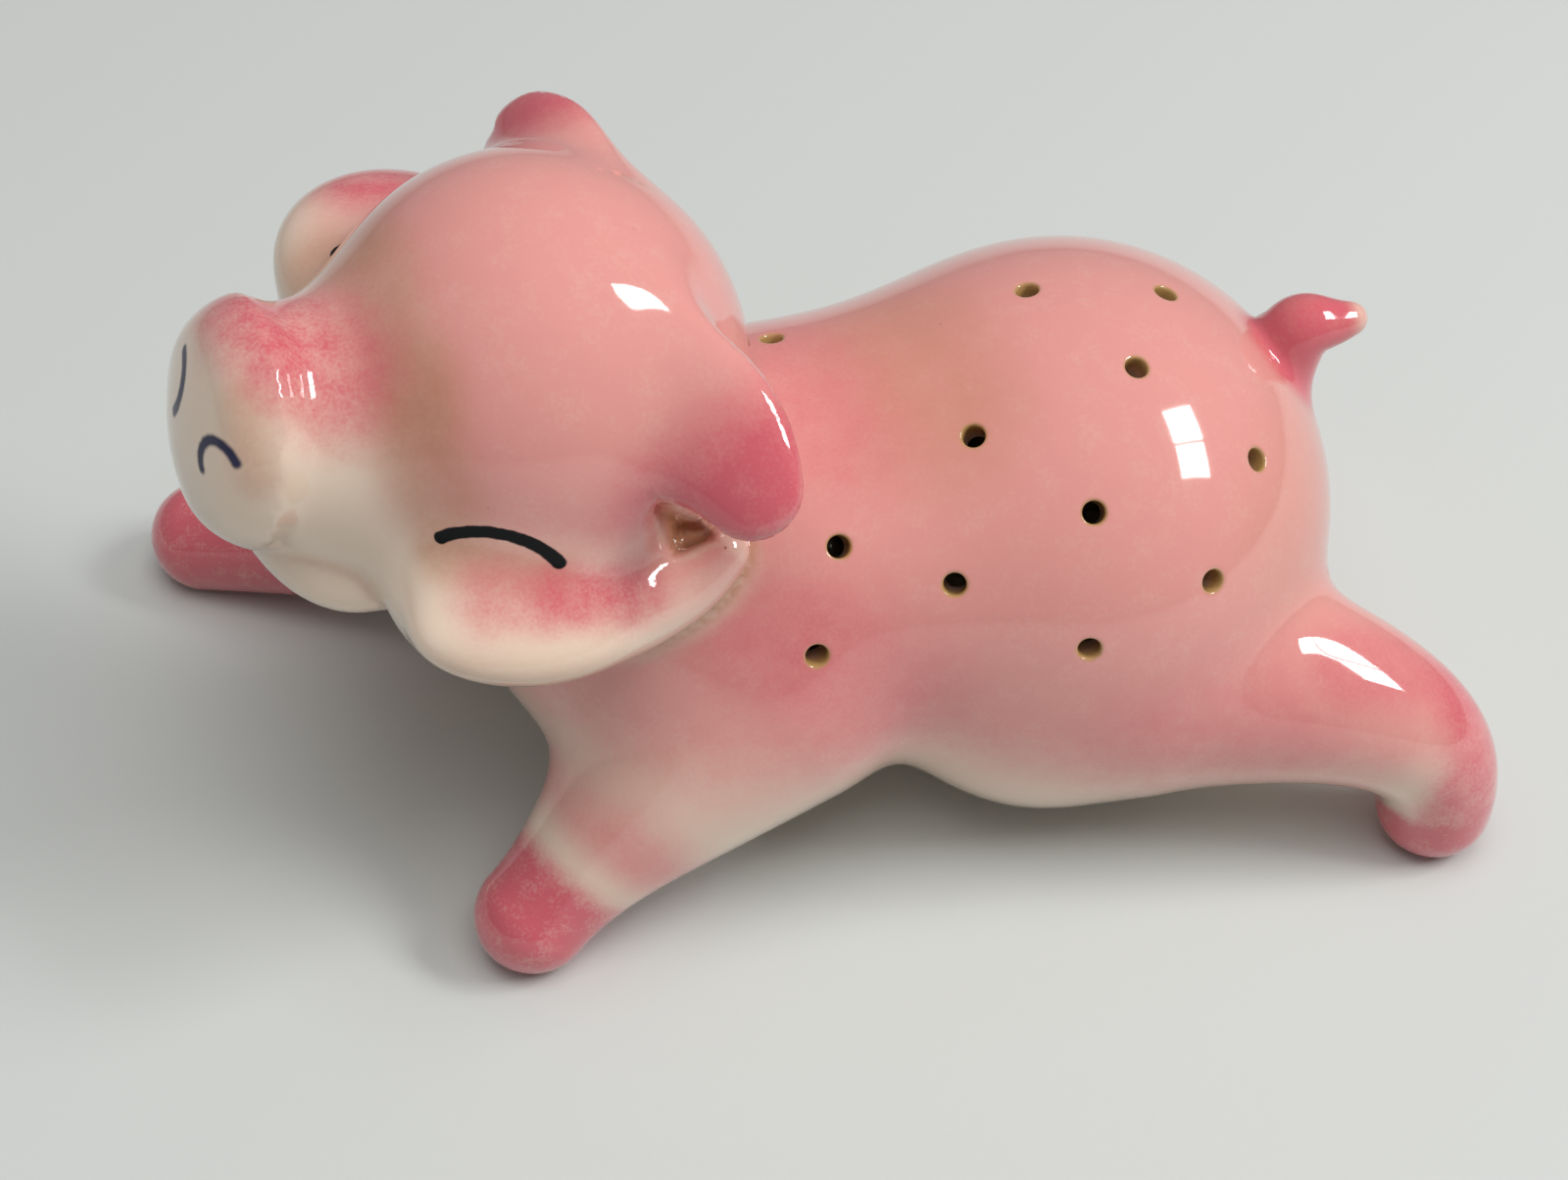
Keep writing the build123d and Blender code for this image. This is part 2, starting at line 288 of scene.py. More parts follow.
def torso(points):
    """The body without its legs and tail."""
    form = cubic_min(ellipsoid(points, RUMP), ellipsoid(points, CHEST), TORSO_BLEND)
    form = cubic_min(form, ellipsoid(points, LOIN), TORSO_BLEND)
    for hand in (1, -1):
        form = cubic_min(form, ellipsoid(points, mirrored(HAUNCH, hand)), HAUNCH_BLEND)
    return form


# The legs: how high over its sole a leg's line ends, how soft the sole's edge is, then for each leg
# the first three points of its line, its radii, and its fillet at the body
HOOF_LIFT = 6.0
SOLE_BLEND = 1.5
LEG_PATHS = {
    "front_left_leg": ((-21, -14, 27), (-35, -21, 20), (-43, -24, 13)),
    "front_right_leg": ((-23, 18, 28), (-45, 28, 17), (-65, 34, 12)),
    "rear_left_leg": ((27, -18, 24), (45, -27, 24), (61, -34, 23)),
    "rear_right_leg": ((23, 20, 24), (39, 28, 24), (54, 36, 23)),
}
LEG_RADII = {
    "front_left_leg": (17, 13, 7, 7.2),
    "front_right_leg": (17, 13, 7.5, 7.6),
    "rear_left_leg": (17, 11, 8, 7.2),
    "rear_right_leg": (17, 11, 8, 7.2),
}
LEG_BLENDS = {
    "front_left_leg": 10.0, "front_right_leg": 10.0, "rear_left_leg": 7.0, "rear_right_leg": 7.0,
}


def leg_path(name):
    """The line that a leg follows, from inside the body to its hoof."""
    return (*LEG_PATHS[name], sole(name) + (0, 0, HOOF_LIFT))


def leg(points, name):
    form = limb(points, leg_path(name), LEG_RADII[name])
    return cubic_max(form, -points[:, 2], SOLE_BLEND)


# The tail's line and radii
TAIL_PATH = ((45.5, 0.0, 49.9), (47.8, 0.1, 61.0), (47.8, -0.6, 57.5), (53.9, -0.8, 58.6))
TAIL_RADII = (4.7, 4.2, 4.1, 2.1)


def tail(points):
    return limb(points, TAIL_PATH, TAIL_RADII)


# Each form and its reach, as a box
LEG_REACH = 24.0
FORMS = {
    "torso": (torso, ((-62, -42, -2), (62, 42, 76))),
    "head_shell": (skull, ((-96, -45, 30), (-8, 45, 100))),
    "left_ear": (lambda p: ear(p, 1), ((-60, -50, 50), (-10, -5, 100))),
    "right_ear": (lambda p: ear(p, -1), ((-60, 5, 50), (-10, 50, 100))),
    "tail": (tail, ((35, -14, 40), (66, 14, 72))),
}
for _name in LEG_NODES:
    _foot = sole(_name)
    _root = np.array(LEG_PATHS[_name][0], float)
    _low = np.minimum(_foot, _root) - LEG_REACH
    _high = np.maximum(_foot, _root) + LEG_REACH
    FORMS[_name] = (lambda p, n=_name: leg(p, n), (tuple(_low), tuple(_high)))
# What is joined to what, and the fillet of slip there
TAIL_BLEND = 3.5
EAR_BLEND = 6.0
NECK_BLEND = 3.0
JOINS = (
    *(("torso", name, LEG_BLENDS[name]) for name in LEG_NODES),
    ("torso", "tail", TAIL_BLEND),
    *(("head_shell", name, EAR_BLEND) for name in EAR_NODES),
)
# The gap that stands for anything outside a form's reach
FAR = 40.0


def distances(points):
    """How far each form's skin is from each point; far outside a form's reach it is a constant."""
    result = {}
    for name, (form, (low, high)) in FORMS.items():
        near = ((points > low) & (points < high)).all(1)
        gap = np.full(len(points), FAR)
        if near.any():
            gap[near] = form(points[near])
        result[name] = gap
    return result


def joined(gaps, pressed):
    """The gap to the whole skin, from those to its forms and from how far the hollows are pressed in."""
    gaps = dict(gaps)
    for base, added, blend in JOINS:
        gaps[base] = cubic_min(gaps[base], gaps[added], blend)
    return cubic_min(gaps["torso"], gaps["head_shell"] + HOLLOW_DEPTH * pressed, NECK_BLEND)


def skin_gap(points):
    """The gap from each point to the pig's skin."""
    return joined(distances(points), hollows(points))


def slope(field, points):
    """The gradient of a field by central differences."""
    result = np.empty_like(points)
    for axis in range(3):
        step = np.zeros(3)
        step[axis] = FINE_STEP
        result[:, axis] = (field(points + step) - field(points - step)) / (2 * FINE_STEP)
    return result


CORNERS = np.array([(i, j, k) for i in (0, 1) for j in (0, 1) for k in (0, 1)])
CELL_EDGES = [
    (a, b) for a in range(8) for b in range(a + 1, 8) if np.abs(CORNERS[a] - CORNERS[b]).sum() == 1
]


def surface_net(field, origin):
    """Quads over the zero surface of a sampled field, with a vertex in each cell that it crosses."""
    inside = field < 0
    shape = np.array(field.shape) - 1
    count = np.zeros(shape, int)
    for i, j, k in CORNERS:
        count += inside[i:i + shape[0], j:j + shape[1], k:k + shape[2]]
    active = (count > 0) & (count < 8)
    cells = np.argwhere(active)
    number = np.full(shape, -1)
    number[active] = np.arange(len(cells))
    total, hits = np.zeros((len(cells), 3)), np.zeros((len(cells), 1))
    for a, b in CELL_EDGES:
        low = field[tuple((cells + CORNERS[a]).T)]
        high = field[tuple((cells + CORNERS[b]).T)]
        crosses = (low < 0) != (high < 0)
        share = np.where(crosses, low / np.where(crosses, low - high, 1.0), 0.0)
        spot = CORNERS[a] + share[:, None] * (CORNERS[b] - CORNERS[a])
        total += np.where(crosses[:, None], spot, 0.0)
        hits += crosses[:, None]
    points = origin + CELL * (cells + total / hits)
    faces = []
    for axis in range(3):
        u, v = (axis + 1) % 3, (axis + 2) % 3
        first = np.take(inside, range(0, field.shape[axis] - 1), axis)
        last = np.take(inside, range(1, field.shape[axis]), axis)
        edges = np.argwhere(first != last)
        edges = edges[(edges[:, u] > 0) & (edges[:, v] > 0)]
        outward = first[tuple(edges.T)]
        ring = []
        for du, dv in ((1, 1), (0, 1), (0, 0), (1, 0)):
            cell = edges.copy()
            cell[:, u] -= du
            cell[:, v] -= dv
            ring.append(number[tuple(cell.T)])
        ring = np.stack(ring, 1)
        ring[~outward] = ring[~outward][:, ::-1]
        faces.append(ring)
    return points, np.concatenate(faces)


def settle(points, field, rounds=3):
    """Moves points onto the zero surface of a field."""
    for _ in range(rounds):
        gradient = slope(field, points)
        points = points - field(points)[:, None] * gradient / (gradient ** 2).sum(1)[:, None]
    return points


def relax(points, faces, rounds=2):
    """Evens out the quads along the surface."""
    edges = np.concatenate([faces[:, [i, (i + 1) % 4]] for i in range(4)])
    for _ in range(rounds):
        total, hits = np.zeros_like(points), np.zeros(len(points))
        np.add.at(total, edges[:, 0], points[edges[:, 1]])
        np.add.at(hits, edges[:, 0], 1)
        points = points + 0.5 * (total / np.maximum(hits, 1)[:, None] - points)
    return points


OWNERS = ("back_shell", "belly_shell", "head_shell", *EAR_NODES, *LEG_NODES, "tail")
# How much nearer the back shell counts at a pick hole, and how far from its middle that fades
HOLE_CLAIM = 5.0
HOLE_MARGIN = (5.0, 9.0)
# On the way to a seam: the longest move in cells, and the least slope that counts
SEAM_STRIDE = 0.45
SEAM_SLOPE = 0.05


def holes():
    """The pick holes of the frame, in the order of their names."""
    return [mount for name, mount in sorted(MOUNTS.items()) if name.startswith("pick_hole")]


def owner_gaps(points):
    """The gap to the form of each piece, in the order of OWNERS, and the height over the body's seam.

    Round a pick hole the back shell counts as nearer than it is, so that no seam runs through a hole.
    """
    gaps = distances(points)
    rows = np.stack([gaps.get(name, gaps["torso"]) for name in OWNERS])
    for mount in holes():
        away = np.linalg.norm(points - to_modules(mount["pos_m"]), axis=1)
        rows[0] -= HOLE_CLAIM * (1.0 - smooth(*HOLE_MARGIN, away))
    return rows, points[:, 2] - SEAM_HEIGHT / MODULE


def owners(points):
    """The piece that each point belongs to: the nearest form, and on the torso its side of the seam."""
    rows, above = owner_gaps(points)
    nearest = rows.argmin(0)
    return np.where((nearest == 0) & (above < 0), 1, nearest)


def tidy_owners(faces, owner, rounds=6):
    """Gives a quad that juts into another piece to that piece, so that the seams run clean."""
    ends = np.sort(np.concatenate([faces[:, [i, (i + 1) % 4]] for i in range(4)]), axis=1)
    quads = np.tile(np.arange(len(faces)), 4)
    order = np.lexsort((ends[:, 1], ends[:, 0]))
    ends, quads = ends[order], quads[order]
    shared = (ends[1:] == ends[:-1]).all(1)
    one, other = quads[:-1][shared], quads[1:][shared]
    for _ in range(rounds):
        votes = np.zeros((len(faces), len(OWNERS)), int)
        np.add.at(votes, (one, owner[other]), 1)
        np.add.at(votes, (other, owner[one]), 1)
        alone = votes[np.arange(len(faces)), owner] <= 1
        owner = np.where(alone, votes.argmax(1), owner)
    return owner


def straighten_seams(points, faces, owner, rounds=4):
    """Moves the points between two pieces onto the line where their forms meet."""
    low = np.full(len(points), len(OWNERS))
    high = np.full(len(points), -1)
    for corner in faces.T:
        np.minimum.at(low, corner, owner)
        np.maximum.at(high, corner, owner)
    edge = np.flatnonzero(low != high)
    first, last, each = low[edge], high[edge], np.arange(len(edge))

    def between(spots):
        rows, above = owner_gaps(spots)
        return np.where(last == 1, above, rows[last, each] - rows[first, each])

    spots = points[edge]
    for _ in range(rounds):
        normal = unit(slope(skin_gap, spots))
        across = slope(between, spots)
        across -= (across * normal).sum(1)[:, None] * normal
        move = -(between(spots) / np.maximum((across ** 2).sum(1), SEAM_SLOPE))[:, None] * across
        length = np.linalg.norm(move, axis=1)[:, None]
        move *= np.minimum(1.0, SEAM_STRIDE * CELL / np.maximum(length, 1e-9))
        spots = settle(spots + move, skin_gap, 1)
    result = points.copy()
    result[edge] = spots
    return settle(result, skin_gap, 1)


# The skin is modelled once and kept here
_skin = {}


def modelled_skin():
    """The whole skin of the pig in modules: points, normals, quads, and the owner of each quad."""
    if _skin:
        return _skin
    low = np.min([reach[0] for _, reach in FORMS.values()], axis=0) - CELL
    high = np.max([reach[1] for _, reach in FORMS.values()], axis=0) + CELL
    shape = np.ceil((high - low) / CELL).astype(int) + 1
    grids, pressed = {}, np.zeros(shape)
    for name, (form, reach) in FORMS.items():
        first = np.maximum(np.floor((np.array(reach[0]) - low) / CELL), 0).astype(int)
        last = np.minimum(np.ceil((np.array(reach[1]) - low) / CELL).astype(int) + 1, shape)
        spans = [np.arange(a, b) for a, b in zip(first, last)]
        block = np.stack(np.meshgrid(*spans, indexing="ij"), -1)
        points = low + CELL * block.reshape(-1, 3)
        inside = tuple(slice(a, b) for a, b in zip(first, last))
        grids[name] = np.full(shape, FAR)
        grids[name][inside] = form(points).reshape(block.shape[:3])
        if name == "head_shell":
            pressed[inside] = hollows(points).reshape(block.shape[:3])
    points, faces = surface_net(joined(grids, pressed), low)
    points = settle(relax(settle(points, skin_gap, 1), faces), skin_gap, 3)
    owner = tidy_owners(faces, owners(points[faces].mean(1)))
    points = straighten_seams(points, faces, owner)
    _skin.update(points=points, normals=unit(slope(skin_gap, points)), faces=faces, owner=owner)
    return _skin


# ---------------------------------------------------------------- pieces cut from the skin

# How thick the shells are
WALL = 4.0
HEAD_WALL = 2.0
# Each ring of a pick hole's lip: its radius and its dip in shares of the hole's radius, its tilt
# in degrees, and how bare of colour it is
HOLE_RINGS = (
    (1.6, 0.0, 0.0, 0.0), (1.3, 0.0, 5.0, 0.1), (1.16, 0.03, 20.0, 0.6),
    (1.06, 0.12, 50.0, 1.0), (1.0, 0.35, 80.0, 1.0), (0.99, 0.9, 90.0, 1.0),
)
# What is cleared for a hole, in shares of its radius: across it, and to either side along it
CLEARED = 2.0
CLEARED_DEPTH = 3.0
# The rings that fill a solid piece's root, in shares of its edge
ROOT_SHARES = (0.8, 0.55, 0.3)


def patch_of(name):
    """A piece's own share of the skin, with the same surface one wall deeper."""
    skin = modelled_skin()
    mine = skin["faces"][skin["owner"] == OWNERS.index(name)]
    used, faces = np.unique(mine, return_inverse=True)
    points, normals = skin["points"][used], skin["normals"][used]
    wall = HEAD_WALL if name == "head_shell" else WALL
    return {
        "points": points, "normals": normals, "faces": faces.reshape(mine.shape),
        "inner": points - normals * wall, "bare": np.zeros(len(points)),
    }


def open_edges(faces):
    """The directed edges that only one face has."""
    edges = {(int(a), int(b)) for i in range(4) for a, b in zip(faces[:, i], faces[:, (i + 1) % 4])}
    return [(a, b) for a, b in sorted(edges) if (b, a) not in edges]


def loops(edges):
    """The closed loops that directed edges make."""
    after = {}
    for a, b in edges:
        after.setdefault(a, []).append(b)
    found = []
    while after:
        start = here = min(after)
        loop = []
        while here in after:
            loop.append(here)
            following = after[here].pop()
            if not after[here]:
                del after[here]
            here = following
            if here == start:
                break
        found.append(loop)
    return found


def pick_axis(mount, rounds=6):
    """Where the axis of a pick hole meets the skin, and its way out."""
    way = np.array(mount["axis"])
    spot = to_modules(mount["pos_m"])[None]
    for _ in range(rounds):
        spot = spot - skin_gap(spot)[:, None] / (slope(skin_gap, spot) @ way)[:, None] * way
    return spot[0], way


def bore(patch, mount):
    """Opens a pick hole with a soft lip in a patch."""
    spot, way = pick_axis(mount)
    radius = mount["dims"]["r_mm"] / 1000 / MODULE
    points, faces = patch["points"], patch["faces"]
    away = points - spot
    along = away @ way
    across = np.linalg.norm(away - along[:, None] * way, axis=1)
    cut = ((across < CLEARED * radius) & (np.abs(along) < CLEARED_DEPTH * radius))[faces].any(1)
    (loop,) = loops(open_edges(faces[cut]))
    side = unit(np.cross(way, (1.0, 0.0, 0.0) if abs(way[0]) < 0.7 else (0.0, 1.0, 0.0)))
    over = np.cross(way, side)
    angles = np.unwrap(np.arctan2(away[loop] @ over, away[loop] @ side))
    even = angles[0] + np.linspace(0, 2 * math.pi, len(loop), endpoint=False)
    turns = (np.sort(angles) + even) / 2
    turns += (np.sort(angles) - turns).mean()
    radial = np.cos(turns)[:, None] * side + np.sin(turns)[:, None] * over
    rings = [np.array(loop)]
    added = {key: [patch[key]] for key in ("points", "normals", "inner", "bare")}
    count = len(points)
    for share, dip, tilt, bare in HOLE_RINGS:
        base = settle(spot + radius * share * radial, skin_gap, 2)
        lean = math.radians(tilt)
        added["points"].append(base - dip * radius * way)
        added["normals"].append(unit(math.cos(lean) * slope(skin_gap, base) - math.sin(lean) * radial))
        added["inner"].append(base - WALL * way)
        added["bare"].append(np.full(len(loop), bare))
        rings.append(np.arange(count, count + len(loop)))
        count += len(loop)
    quads = [np.stack((a, np.roll(a, -1), np.roll(b, -1), b), 1) for a, b in zip(rings, rings[1:])]
    patch.update({key: np.concatenate(parts) for key, parts in added.items()})
    patch["faces"] = np.concatenate((faces[~cut], *quads))
    kept = np.unique(patch["faces"])
    number = np.full(len(patch["points"]), -1)
    number[kept] = np.arange(len(kept))
    patch["faces"] = number[patch["faces"]]
    for key in added:
        patch[key] = patch[key][kept]


def lined(patch):
    """Closes a patch into a hollow shell: the hidden points, and the faces inside and along its edges."""
    count = len(patch["points"])
    rims = [(b, a, a + count, b + count) for a, b in open_edges(patch["faces"])]
    return patch["inner"], patch["faces"][:, ::-1] + count, rims


def plugged(patch):
    """Closes a patch into a solid piece: the hidden points, and the faces that fill its root."""
    count = len(patch["points"])
    hidden, fill = [], []
    for loop in loops(open_edges(patch["faces"])):
        edge = patch["points"][loop]
        middle = edge.mean(0)
        ring = np.array(loop)
        for share in ROOT_SHARES:
            hidden.append(middle + (edge - middle) * share)
            inner = np.arange(count, count + len(loop))
            count += len(loop)
            quads = np.stack((np.roll(ring, -1), ring, inner, np.roll(inner, -1)), 1)
            fill += quads.tolist()
            ring = inner
        hidden.append(middle[None])
        fill += zip(np.roll(ring, -1).tolist(), ring.tolist(), [count] * len(loop))
        count += 1
    return np.concatenate(hidden), np.zeros((0, 4), int), fill


def make_piece(node, closing, material, mounts=()):
    """Models one piece of the pig in place of its CAD node."""
    patch = patch_of(node)
    for mount in mounts:
        bore(patch, mount)
    hidden, lining, flat = closing(patch)
    points = np.concatenate((patch["points"], hidden))
    shade = np.concatenate((patch["normals"], np.zeros_like(hidden)))
    if len(lining):
        shade[len(patch["points"]):] = -patch["normals"]
    smooth_faces = patch["faces"].tolist() + lining.tolist()
    faces = smooth_faces + [list(face) for face in flat]
    corners = [shade[vertex] for face in smooth_faces for vertex in face]
    for face in flat:
        a, b, c = (points[vertex] for vertex in face[:3])
        corners += [unit(np.cross(b - a, c - a))] * len(face)
    mesh = bpy.data.meshes.new(node + "_glazed")
    mesh.from_pydata(to_frame(points).tolist(), [], faces)
    mesh.polygons.foreach_set("use_smooth", [True] * len(mesh.polygons))
    mesh.normals_split_custom_set(np.array(corners).tolist())
    coats = painted(patch["points"])
    coats["bare"] = np.maximum(coats["bare"], patch["bare"])
    for coat, amount in coats.items():
        layer = mesh.attributes.new(coat, "FLOAT", "POINT")
        layer.data.foreach_set("value", np.concatenate((amount, np.zeros(len(hidden)))).astype(np.float32))
    mesh.materials.append(material)
    if mesh.validate(verbose=True):
        raise RuntimeError(f"{node} has a face that does not close")
    piece = bpy.data.objects.new(mesh.name, mesh)
    bpy.context.scene.collection.objects.link(piece)
    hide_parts(node)
    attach(piece, "root")
    return piece


# ---------------------------------------------------------------- where the airbrush goes


def airbrush(points, passes):
    """How much colour some passes of the airbrush leave: each goes from one place to another."""
    bare = np.ones(len(points))
    for start, end, core, soft, strength in passes:
        start, run = np.array(start, float), np.subtract(end, start).astype(float)
        share = np.clip(((points - start) @ run) / max(run @ run, 1e-9), 0.0, 1.0)
        away = np.linalg.norm(points - start - share[:, None] * run, axis=1)
        bare *= 1.0 - strength * (1.0 - smooth(core, core + soft, away))
    return 1.0 - bare


# Each leg: where along it the rose of the hoof starts and is full, how pink its shank is, how much
# that changes on its upper side, and where over its middle that side starts
HOOF_COATS = {
    "front_left_leg": (0.64, 0.82, 1.0, -0.9, 4.0),
    "front_right_leg": (0.60, 0.80, 1.0, -0.9, 4.0),
    "rear_left_leg": (0.78, 0.94, 0.60, 0.6, -2.0),
    "rear_right_leg": (0.78, 0.94, 0.60, 0.6, -2.0),
}
# Passes of the airbrush: from, to, radius of full colour, width of the soft edge, strength. Some tan
# passes of the head are painted shade, as marked.
# Those of the head are in its own frame: forward, left, up.
HEAD_ROSE = (
    ((28.5, -4.0, 11.4), (24.5, 4.0, 11.0), 3.0, 9.0, 0.75),
    ((32.5, -7.0, 11.0), (31.0, 4.0, 11.5), 1.5, 4.5, 0.55),
    ((11.0, 26.5, -1.5), (-5.0, 27.5, -2.0), 1.5, 5.5, 0.55),
    ((5.0, 28.0, -1.0), (-4.0, 28.0, -1.8), 1.0, 4.5, 0.50),
    ((8.0, -31.0, 2.5), (-4.0, -30.0, 3.0), 3.0, 7.0, 0.80),
)
HEAD_TAN_AND_SHADE = (
    ((19.0, -4.0, 17.5), (18.4, 10.2, 14.2), 1.5, 7.0, 0.45),
    ((18.4, 10.2, 14.2), (16.0, 18.5, 4.5), 1.5, 7.0, 0.50),
    ((18.4, -10.2, 14.2), (17.5, -18.5, 2.0), 2.0, 7.0, 0.50),
    # Below the left eye, along the crease to the cheek: warm tan and painted shade of the crease
    ((15.0, 21.0, -0.5), (5.0, 26.0, 0.5), 1.0, 4.0, 0.50),
    # On the underside of the left cheek: tan and painted shade
    ((14.0, 32.0, -9.0), (0.0, 34.0, -9.0), 2.0, 5.0, 0.30),
    ((34.5, 6.0, 10.0), (33.5, 11.5, 4.0), 0.5, 4.0, 0.45),
    # Along the crease of the mouth: pooled glaze and painted shade
    ((33.5, 0.0, -14.0), (31.0, 10.0, -9.0), 0.5, 5.0, 0.25),
)
LEG_ROSE = (
    ((63.0, -34.0, 25.0), (61.0, -42.0, 8.0), 3.5, 6.0, 0.80),
    ((46.0, -33.0, 33.0), (59.0, -33.0, 31.0), 2.0, 6.5, 0.50),
)
BODY_ROSE = (
    ((-16.0, -26.0, 42.0), (-10.0, -29.0, 36.0), 3.0, 13.0, 0.38),
    ((-27.0, -24.0, 46.0), (-20.0, -26.0, 44.0), 2.0, 9.0, 0.30),
    ((-14.0, 5.0, 61.0), (-11.0, -10.0, 60.0), 2.0, 11.0, 0.32),
    ((34.0, -36.0, 26.0), (24.0, -34.0, 26.0), 4.0, 14.0, 0.30),
)
BODY_TAN = (
    ((-1.0, 3.0, 62.0), (1.0, -9.0, 61.0), 3.0, 12.0, 0.45),
    ((40.0, -20.0, 45.0), (50.0, 0.0, 48.0), 3.0, 14.0, 0.25),
)
# Where coats start and are full. A coat that belongs to a form fades over this gap from it
OWN_COAT = (0.5, 4.0)
# On the body, the pink by height, and how much lower it reaches towards the tail
FLANK_PINK, FLANK_SLANT = (12.0, 34.0), 0.12
# On the head, the pink by height, how far forward it ends, and how much lower it reaches at the nape
HEAD_PINK, MUZZLE_CREAM = (-4.0, 9.0), (14.0, 25.0)
NAPE, NAPE_DROP = (-12.0, 0.0), 5.0
# Out along an ear: its own coat, its rose, and how these lean across it
EAR_COAT, EAR_ROSE, EAR_SLANT = (-4.0, 2.0), (-4.0, 11.0), 0.35
# In shares of a leg: where its own pink starts and ends, where that of its upper side ends,
# and how soft the edge of the hoof's rose is; then how soft the edge of the upper side is
SHANK_START, SHANK_END, UPPER_END = (0.25, 0.5), (0.5, 0.72), (0.8, 1.0)
HOOF_EDGE, UPPER_SIDE = 0.1, 8.0
# In shares of the tail: its pale tip; then how pale that is, and how tan the rest
TAIL_TIP, TIP_PALE, TAIL_TAN = (0.85, 1.0), 0.7, 0.5
# By how sharply the skin bends: tan lies in creases, partly glaze that pools there and partly painted
# shade, and colour thins on ridges, but not on the snout
CREASE, CREASE_TAN_POOL_AND_SHADE = (0.05, 0.5), 0.75
RIDGE, RIDGE_PINK, RIDGE_ROSE, RIDGE_FREE = (0.25, 0.8), 0.5, 0.55, (14.0, 22.0)
# Painted shade in the hollows under the ears: how deep in a hollow and how far from the ear's edge the tan
# of the painted shade lies, and how much of the bare rim colour darkens it there
HOLLOW_SHADE_DEPTHS, EAR_EDGE, HOLLOW_SHADE_RIM = (0.1, 0.7), (0.2, 1.4), 0.15


def painted(points):
    """How much of each colour lies on each point of the skin, with painted shade in the creases, in the
    hollows under the ears, under the left cheek, below the left eye and along the mouth.
    """
    gaps = distances(points)
    near = {name: 1.0 - smooth(*OWN_COAT, gap) for name, gap in gaps.items()}
    own = on_head(points)
    head = near["head_shell"]
    height = points[:, 2]
    pink = smooth(*FLANK_PINK, height + FLANK_SLANT * points[:, 0])
    rose = airbrush(points, BODY_ROSE)
    tan = airbrush(points, BODY_TAN)
    nape = own[:, 2] + NAPE_DROP * (1.0 - smooth(*NAPE, own[:, 0]))
    pink += head * (smooth(*HEAD_PINK, nape) * (1.0 - smooth(*MUZZLE_CREAM, own[:, 0])) - pink)
    rose += head * (airbrush(own, HEAD_ROSE) - rose)
    tan += head * (airbrush(own, HEAD_TAN_AND_SHADE) - tan)
    for hand, name in ((1, "left_ear"), (-1, "right_ear")):
        out = ear_place(points, hand)
        along = out[:, 0] / EAR_LENGTHS[hand] - EAR_SLANT * out[:, 1]
        ear_coat = near[name] * smooth(*EAR_COAT, along)
        rose += ear_coat * (smooth(*EAR_ROSE, along) - rose)
        pink += ear_coat * (1.0 - pink)
    for name in LEG_NODES:
        path = leg_path(name)
        share = limb_share(points, path, LEG_RADII[name])
        start, full, shank, top, rise = HOOF_COATS[name]
        upper = smooth(rise, rise + UPPER_SIDE, height - bernstein(path, share)[:, 2])
        coat = shank * (1.0 - smooth(*SHANK_END, share)) + top * upper * (1.0 - smooth(*UPPER_END, share))
        pink += near[name] * smooth(*SHANK_START, share) * (np.clip(coat, 0.0, 1.0) - pink)
        rose += near[name] * smooth(start - HOOF_EDGE, start, share) * (smooth(start, full, share) - rose)
    rose = np.maximum(rose, airbrush(points, LEG_ROSE))
    tail_coat = near["tail"]
    pink += tail_coat * (1.0 - pink)
    tip = smooth(*TAIL_TIP, limb_share(points, TAIL_PATH, TAIL_RADII))
    rose += tail_coat * (1.0 - TIP_PALE * tip - rose)
    tan += tail_coat * (TAIL_TAN * (1.0 - tip) - tan)
    bend = curvature(points)
    crease, ridge = smooth(*CREASE, -bend), smooth(*RIDGE, bend)
    ridge *= 1.0 - head * smooth(*RIDGE_FREE, own[:, 0])
    # Tan in the creases: pooled glaze and painted shade
    tan = np.maximum(tan, CREASE_TAN_POOL_AND_SHADE * crease)
    # Painted shade in the hollows under the ears: tan in place of rose, darkened with some of the rim
    # colour
    off_ears = smooth(*EAR_EDGE, np.minimum(gaps["left_ear"], gaps["right_ear"]))
    under = smooth(*HOLLOW_SHADE_DEPTHS, hollows(points)) * off_ears
    return {
        "pink": pink * (1.0 - RIDGE_PINK * ridge),
        "rose": rose * (1.0 - under) * (1.0 - RIDGE_ROSE * ridge),
        "tan": np.maximum(tan, under),
        "bare": HOLLOW_SHADE_RIM * under,
    }


def curvature(points, reach=0.8):
    """How sharply the skin bends: above zero on ridges, below in creases."""
    total = -6.0 * skin_gap(points)
    for axis in range(3):
        step = np.zeros(3)
        step[axis] = reach
        total += skin_gap(points + step) + skin_gap(points - step)
    return total / reach ** 2


# ---------------------------------------------------------------- glaze materials


